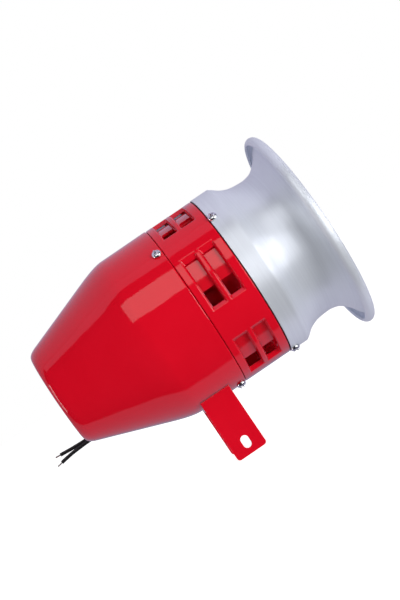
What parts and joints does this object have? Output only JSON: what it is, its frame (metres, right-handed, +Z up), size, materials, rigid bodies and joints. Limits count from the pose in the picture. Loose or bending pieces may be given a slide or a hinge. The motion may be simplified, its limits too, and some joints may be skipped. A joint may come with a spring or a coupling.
{
  "type": "motor-driven alarm siren",
  "caption": "Motor siren: tapered painted cup with the motor inside, ring of sound ports with a chopper rotor, spun horn, and a U bracket with slotted legs.",
  "frame": {"origin": "centre of the bounding box in plan, at the bottom of the bracket's feet, measured without the two loose leads", "axes": "+X along the siren's axis, out of the horn's mouth; +Z up, away from the bracket's feet; +Y to the left of someone looking out of the horn"},
  "size_m": [0.247, 0.1582, 0.1859],
  "materials": {
    "red_gloss_paint": "gloss",
    "red_satin_paint": "satin",
    "spun_aluminium": "satin",
    "zinc_steel": "satin",
    "bare_steel": "satin",
    "copper_alloy": "satin",
    "ferrite": "matte",
    "black_rubber": "matte",
    "black_plastic": "satin",
    "carbon": "matte",
    "ivory_plastic": "satin"
  },
  "bodies": {
    "siren_body": {"rear_cup": "red_gloss_paint", "port_housing": "red_gloss_paint", "horn": "spun_aluminium", "seam_gasket": "black_rubber", "cup_screw_1": "zinc_steel", "cup_screw_2": "zinc_steel", "cup_screw_3": "zinc_steel", "collar_screw_1": "zinc_steel", "collar_screw_2": "zinc_steel", "collar_screw_3": "zinc_steel", "mounting_bracket": "red_gloss_paint", "bracket_backing_plate": "bare_steel", "bracket_screw_1": "zinc_steel", "bracket_nut_1": "zinc_steel", "bracket_screw_2": "zinc_steel", "bracket_nut_2": "zinc_steel", "cable_grommet": "black_rubber", "lead_1": "black_plastic", "lead_2": "black_plastic", "inner_lead_1": "black_plastic", "inner_lead_2": "black_plastic", "terminal_block": "ivory_plastic", "noise_capacitor": "black_plastic", "motor_can": "bare_steel", "rear_end_bell": "bare_steel", "front_end_bell": "bare_steel", "motor_plate": "bare_steel", "bearing_rear": "bare_steel", "bearing_front": "bare_steel", "field_magnet_upper": "ferrite", "field_magnet_lower": "ferrite", "brush_holder_1": "copper_alloy", "carbon_brush_1": "carbon", "brush_spring_1": "zinc_steel", "tie_bolt_1": "zinc_steel", "tie_bolt_nut_1": "zinc_steel", "brush_holder_2": "copper_alloy", "carbon_brush_2": "carbon", "brush_spring_2": "zinc_steel", "tie_bolt_2": "zinc_steel", "tie_bolt_nut_2": "zinc_steel"},
    "rotor_assembly": {"motor_shaft": "bare_steel", "armature_core": "bare_steel", "winding_rear": "copper_alloy", "winding_front": "copper_alloy", "commutator": "copper_alloy", "rotor": "red_satin_paint", "rotor_washer": "zinc_steel", "rotor_nut": "zinc_steel"}
  },
  "joints": [
    {"name": "rotor_spin", "type": "hinge", "parent": "siren_body", "child": "rotor_assembly", "pos_m": [0, 0, 0.1068], "axis": [1, 0, 0], "continuous": true}
  ]
}
